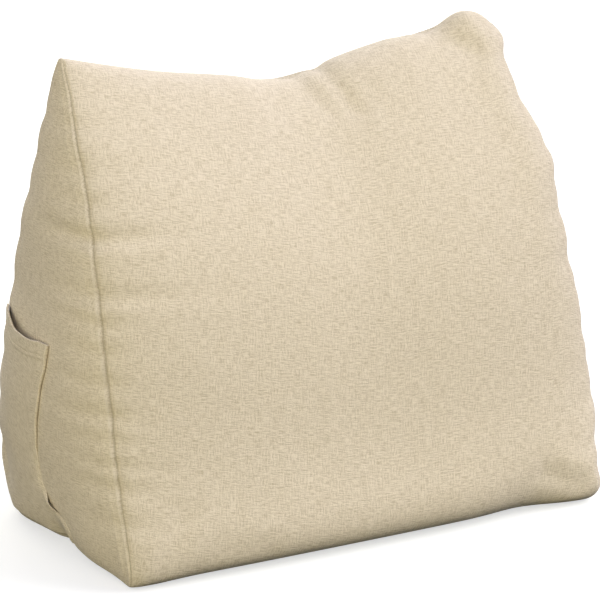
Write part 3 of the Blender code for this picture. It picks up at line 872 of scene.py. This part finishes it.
def stitch_geometry(pattern):
    """Points and faces of the pocket's stitches: each a six-sided thread along an arc of
    height radius * (1.1 - 9 t^2) over the cloth, with t from -0.36 to 0.36, so that it sinks
    into the cloth at its two ends, where it tapers by sqrt(1 - (t / 0.4)^2)."""
    t = np.linspace(-STITCH_REACH, STITCH_REACH, STITCH_POINTS)
    _, surface, away = pattern.faces(*stitch_places(pattern, t))
    lift = THREAD_RADIUS * (1.1 - 9 * t**2)
    middle = surface + away * lift[None, :, None]
    forward = np.gradient(middle, axis=1)
    forward /= np.linalg.norm(forward, axis=-1, keepdims=True)
    side = np.cross(forward, away)
    side /= np.linalg.norm(side, axis=-1, keepdims=True)
    normal = np.cross(side, forward)
    turn = np.arange(THREAD_SIDES) * 2 * np.pi / THREAD_SIDES
    taper = np.sqrt(1 - (t / 0.4) ** 2)[None, :, None, None]
    ring = side[:, :, None] * np.cos(turn)[:, None] + normal[:, :, None] * np.sin(turn)[:, None]
    points = middle[:, :, None] + ring * THREAD_RADIUS * taper
    index = np.arange(points[..., 0].size).reshape(points.shape[:3])
    around = np.roll(index, -1, axis=2)
    quads = [index[:, :-1], around[:, :-1], around[:, 1:], index[:, 1:]]
    faces = np.stack(quads, -1).reshape(-1, 4).tolist()
    faces += index[:, 0, ::-1].tolist() + index[:, -1].tolist()
    uvs = np.zeros((sum(len(face) for face in faces), 2))
    return points.reshape(-1, 3), faces, uvs


def math_operator(operation, flipped=False):
    """A method of Term that adds one Math node."""
    return lambda term, other: term.math(operation, other, flipped=flipped)


class Term:
    """A socket in an expression: every operator adds its Math node and gives a new Term."""

    def __init__(self, graph, socket):
        self.graph, self.socket = graph, socket

    def math(self, operation, *others, flipped=False):
        values = [self, *others]
        if flipped:
            values.reverse()
        return self.graph.node("Math", {"operation": operation}, values)

    __add__ = __radd__ = math_operator("ADD")
    __mul__ = __rmul__ = math_operator("MULTIPLY")
    __sub__, __rsub__ = math_operator("SUBTRACT"), math_operator("SUBTRACT", flipped=True)
    __truediv__, __rtruediv__ = math_operator("DIVIDE"), math_operator("DIVIDE", flipped=True)


class Graph:
    """Nodes of one material."""

    def __init__(self, name):
        self.material = bpy.data.materials.new(name)
        self.material.use_nodes = True
        self.tree = self.material.node_tree
        self.tree.nodes.clear()

    def node(self, kind, settings=None, inputs=(), output=0):
        """Adds a node of a kind, applies its settings, feeds its inputs (a dict by name or a
        list in order) with values or Terms, and returns one output as a Term."""
        made = self.tree.nodes.new("ShaderNode" + kind)
        for name, value in (settings or {}).items():
            setattr(made, name, value)
        sockets = [socket for socket in made.inputs if socket.enabled]
        if isinstance(inputs, dict):
            by_name = {socket.name: socket for socket in sockets}
            pairs = [(by_name[name], value) for name, value in inputs.items()]
        else:
            pairs = list(zip(sockets, inputs))
        for socket, value in pairs:
            if isinstance(value, Term):
                self.tree.links.new(value.socket, socket)
            else:
                socket.default_value = value
        outputs = [socket for socket in made.outputs if socket.enabled]
        return Term(self, outputs[output]) if outputs else None

    def noise(self, x, y, detail=1.0):
        """Flat noise whose features are about one unit of x and of y."""
        place = self.node("CombineXYZ", None, (x, y, 0.0))
        settings = {"noise_dimensions": "2D"}
        inputs = {"Vector": place, "Scale": 1.0, "Detail": detail, "Roughness": 0.5}
        return self.node("TexNoise", settings, inputs)

    def mixed(self, factor, first, second):
        """Colour between two colours."""
        settings = {"data_type": "RGBA"}
        inputs = {"Factor": factor, "A": first, "B": second}
        return self.node("Mix", settings, inputs)

    def band(self, value, low, high):
        """Smooth step of a value from 0 at low to 1 at high."""
        settings = {"interpolation_type": "SMOOTHSTEP"}
        inputs = {"Value": value, "From Min": low, "From Max": high}
        return self.node("MapRange", settings, inputs)

    def finish(self, inputs):
        """Ends in a Principled surface with these inputs, and returns the material."""
        surface = self.node("BsdfPrincipled", None, inputs)
        self.node("OutputMaterial", None, {"Surface": surface})
        return self.material


def paint(shade, share=1.0):
    """Opaque colour, each channel times a share."""
    return [channel * share for channel in shade] + [1.0]


def linen(name, cloth, tint=1.0):
    """Linen-look plain weave in the piece's own cloth coordinates, in metres: threads with
    thick and thin places both ways, patches where one way stands out, and fine relief, under
    the painted shade and painted highlight that the crease attribute holds. What is added to
    a coordinate keeps two noises from looking alike."""
    graph = Graph(name)
    place = graph.node("UVMap", {"uv_map": "cloth"})
    x, y = (graph.node("SeparateXYZ", None, (place,), k) for k in (0, 1))
    across, up = x / cloth.thread, y / cloth.thread
    slub_x, slub_y = x / cloth.slub, y / cloth.slub
    # Threads as noise drawn out along them, and their thick places as wider noise
    weft = graph.noise(slub_x, up * 1.6) - 0.5
    warp = graph.noise(across * 1.2 + 7.0, slub_y * 1.2) - 0.5
    weft_thick = graph.noise(slub_x * 0.5 + 31.0, up * 0.75)
    warp_thick = graph.noise(across * 0.6, slub_y * 0.5 + 17.0)
    grain = graph.noise(across + 5.0, up, 2.0) - 0.5
    slubs = graph.band(weft_thick, 0.68, 0.80) + graph.band(warp_thick, 0.68, 0.80)
    # The warp comes up in patches, and the weft rules outside them
    patches = graph.band(graph.noise(x * PATCHES_ACROSS, y * PATCHES_UP, 2.0), 0.3, 0.7)
    streaks = weft * (1.35 - patches * 0.5) + warp * (0.42 + patches * 0.45)
    streaks = streaks + (weft_thick - 0.5) * 0.34 + (warp_thick - 0.5) * 0.2 + grain * 0.7
    # Ribs both ways, each a sine that wanders by up to 9 radians
    wander = graph.noise(x * WANDERS + 3.0, y * WANDERS) * 9.0
    ribs_up = (x * (2 * math.pi / cloth.rib) + wander).math("SINE") * (patches * 0.08 + 0.02)
    ribs_across = (y * (2 * math.pi / cloth.rib) + wander).math("SINE") * (0.09 - patches * 0.07)
    ribs = ribs_up + ribs_across
    # Tone between the dark thread (0) and the light one (1), less the painted shade held in
    # the crease attribute, which below 0 lifts it as a painted highlight
    clouds = graph.noise(x * CLOUDS, y * CLOUDS, 3.0) - 0.5
    crease = graph.node("Attribute", {"attribute_name": "crease"}, (), 2)
    threads = streaks * 1.42 + ribs + slubs * 0.10
    tone = 0.60 + threads * cloth.contrast + clouds * cloth.clouds - crease * 0.8
    tone = graph.band(tone, 0.0, 1.0)
    woven = graph.mixed(tone, paint(cloth.dark, tint), paint(cloth.light, tint))
    # Painted shade: the colour drawn towards the dark thread's at 0.42 of its brightness, by the
    # crease attribute
    with_painted_shade = graph.mixed(crease * 0.8, woven, paint(cloth.dark, tint * 0.42))
    # Relief of the threads, over the cloth's soft dents
    height = streaks * 1.3 + ribs * 1.5 + slubs * 0.35
    inputs = {"Strength": 0.85, "Distance": cloth.relief, "Height": height}
    relief = graph.node("Bump", None, inputs)
    dents = graph.noise(x * DENTS, y * DENTS, 2.0)
    inputs = {"Strength": 0.6, "Distance": cloth.dent, "Height": dents, "Normal": relief}
    relief = graph.node("Bump", None, inputs)
    inputs = {"Base Color": with_painted_shade, "Roughness": cloth.roughness, "Specular IOR Level": 0.25}
    inputs |= {"Sheen Weight": cloth.sheen, "Sheen Roughness": 0.45, "Normal": relief}
    return graph.finish(inputs)


def thread_finish(name, cloth):
    """Spun sewing thread in the colours of the cloth, twisted along Object axes."""
    graph = Graph(name)
    place = graph.node("TexCoord", None, (), 3)
    twist = graph.node("TexNoise", None, {"Vector": place, "Scale": 1800.0, "Detail": 1.0})
    spun = graph.mixed(graph.band(twist, 0.2, 0.5), paint(cloth.dark), paint(cloth.light))
    return graph.finish({"Base Color": spun, "Roughness": 0.7})


def paper_finish(name, stage):
    """Matt paper that glows a little."""
    inputs = {"Base Color": paint(stage.floor), "Roughness": 0.8}
    inputs |= {"Emission Color": paint((1, 1, 1)), "Emission Strength": stage.glow}
    return Graph(name).finish(inputs)


class PILLOW_OT_body(bpy.types.Operator):
    """Sew and fill the wedge body"""

    bl_idname = "pillow.body"
    bl_label = "Pillow body"

    def execute(self, context):
        scene = context.scene
        points, faces, uvs, painted_shading = body_geometry(scene.pillow_shape, scene.pillow_seam)
        finish = linen("body_linen", scene.pillow_cloth)
        body = make_piece("pillow_body", points, faces, uvs, finish, painted_shading)
        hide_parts("cushion_body")
        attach(body, "root")
        return {"FINISHED"}


class PILLOW_OT_pocket(bpy.types.Operator):
    """Cut and hem the side pocket"""

    bl_idname = "pillow.pocket"
    bl_label = "Side pocket"

    def execute(self, context):
        scene = context.scene
        pattern = PocketPattern(scene.pillow_shape, scene.pillow_seam, scene.pillow_pocket)
        points, faces, uvs, painted_shading = pocket_geometry(pattern)
        finish = linen("pocket_linen", scene.pillow_cloth, 0.98)
        pocket = make_piece("pillow_pocket", points, faces, uvs, finish, painted_shading)
        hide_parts("side_pocket")
        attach(pocket, "root")
        return {"FINISHED"}


class PILLOW_OT_stitches(bpy.types.Operator):
    """Stitch the side pocket, which has to be there already"""

    bl_idname = "pillow.stitches"
    bl_label = "Pocket stitches"

    def execute(self, context):
        scene = context.scene
        pocket = scene.objects.get("pillow_pocket")
        if pocket is None:
            raise RuntimeError("There is no side pocket to stitch")
        pattern = PocketPattern(scene.pillow_shape, scene.pillow_seam, scene.pillow_pocket)
        points, faces, uvs = stitch_geometry(pattern)
        thread = thread_finish("sewing_thread", scene.pillow_cloth)
        stitches = make_piece("pocket_stitches", points, faces, uvs, thread)
        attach(stitches, "root")
        return {"FINISHED"}


class PILLOW_OT_stage(bpy.types.Operator):
    """Place the floor, the lights and the camera"""

    bl_idname = "pillow.stage"
    bl_label = "Stage"

    def execute(self, context):
        self.place_floor(context.scene.pillow_stage)
        self.place_lights(context.scene)
        self.place_camera(context.scene)
        return {"FINISHED"}

    def place_floor(self, stage):
        """A square of paper that catches light and throws none back, so that the roll at the
        pillow's foot stays in shade."""
        corners = stage.floor_half * np.array([(-1, -1, 0), (1, -1, 0), (1, 1, 0), (-1, 1, 0)])
        finish = paper_finish("floor_paper", stage)
        floor = make_piece("floor", corners, [[0, 1, 2, 3]], corners[:, :2], finish)
        floor.visible_diffuse = floor.visible_glossy = False

    def place_lights(self, scene):
        """Air that only the camera sees, and the wide soft lamps."""
        stage = scene.pillow_stage
        world = bpy.data.worlds.new("studio_air")
        world.use_nodes = True
        air = world.node_tree.nodes["Background"]
        air.inputs["Color"].default_value = paint(stage.air)
        air.inputs["Strength"].default_value = 1.0
        world.cycles_visibility.diffuse = world.cycles_visibility.glossy = False
        scene.world = world
        for name, aim, spread, strength, shade in LAMPS:
            light = bpy.data.lights.new(name, "SUN")
            light.energy, light.color = strength * stage.lamps, shade
            light.angle = math.radians(spread)
            lamp = bpy.data.objects.new(name, light)
            lamp.rotation_euler = Vector(aim).to_track_quat("-Z", "Y").to_euler()
            scene.collection.objects.link(lamp)

    def place_camera(self, scene):
        """The photo's view: the camera stands at a distance from the target and turns past
        it, so that the target lies left of the picture's middle and above it."""
        stage, shape = scene.pillow_stage, scene.pillow_shape
        scene.view_settings.view_transform = "Standard"
        turn, rise = math.radians(stage.azimuth), math.radians(stage.elevation)
        ahead = Vector(
            (math.sin(turn) * math.cos(rise), math.cos(turn) * math.cos(rise), -math.sin(rise))
        )
        right = Vector((math.cos(turn), -math.sin(turn), 0))
        above = right.cross(ahead)
        target = Vector((-shape.centre_x, -shape.centre_y, stage.target))
        lens = bpy.data.cameras.new("camera")
        lens.lens = lens.sensor_width * stage.focal
        camera = bpy.data.objects.new("camera", lens)
        camera.location = target - ahead * stage.distance
        aim = ahead + right * (TARGET_LEFT / FOCAL) - above * (TARGET_ABOVE / FOCAL)
        camera.rotation_euler = aim.to_track_quat("-Z", "Y").to_euler()
        scene.collection.objects.link(camera)
        scene.camera = camera


class PILLOW_PT_sidebar(bpy.types.Panel):
    """Lists the pillow's operators and sizes"""

    bl_idname = "PILLOW_PT_sidebar"
    bl_label = "Backrest pillow"
    bl_space_type = "VIEW_3D"
    bl_region_type = "UI"
    bl_category = "Pillow"

    def draw(self, context):
        for operator in OPERATORS:
            self.layout.operator(operator.bl_idname)
        for group in GROUPS:
            sizes = getattr(context.scene, group)
            for name in sizes.bl_rna.properties.keys():
                if name not in ("rna_type", "name"):
                    self.layout.prop(sizes, name)


GROUPS = {
    "pillow_shape": PillowShape,
    "pillow_seam": PillowSeam,
    "pillow_pocket": PillowPocket,
    "pillow_cloth": PillowCloth,
    "pillow_stage": PillowStage,
}
OPERATORS = (PILLOW_OT_stage, PILLOW_OT_body, PILLOW_OT_pocket, PILLOW_OT_stitches)
CLASSES = (*OPERATORS, PILLOW_PT_sidebar)


def register():
    for group in GROUPS.values():
        bpy.utils.register_class(group)
    for name, group in GROUPS.items():
        setattr(bpy.types.Scene, name, PointerProperty(type=group))
    for made in CLASSES:
        bpy.utils.register_class(made)


def unregister():
    for made in reversed(CLASSES):
        bpy.utils.unregister_class(made)
    for name in GROUPS:
        delattr(bpy.types.Scene, name)
    for group in reversed(list(GROUPS.values())):
        bpy.utils.unregister_class(group)


def main():
    """Builds every piece and the stage."""
    register()
    bpy.ops.pillow.stage()
    bpy.ops.pillow.body()
    bpy.ops.pillow.pocket()
    bpy.ops.pillow.stitches()


if __name__ == "__main__":
    main()
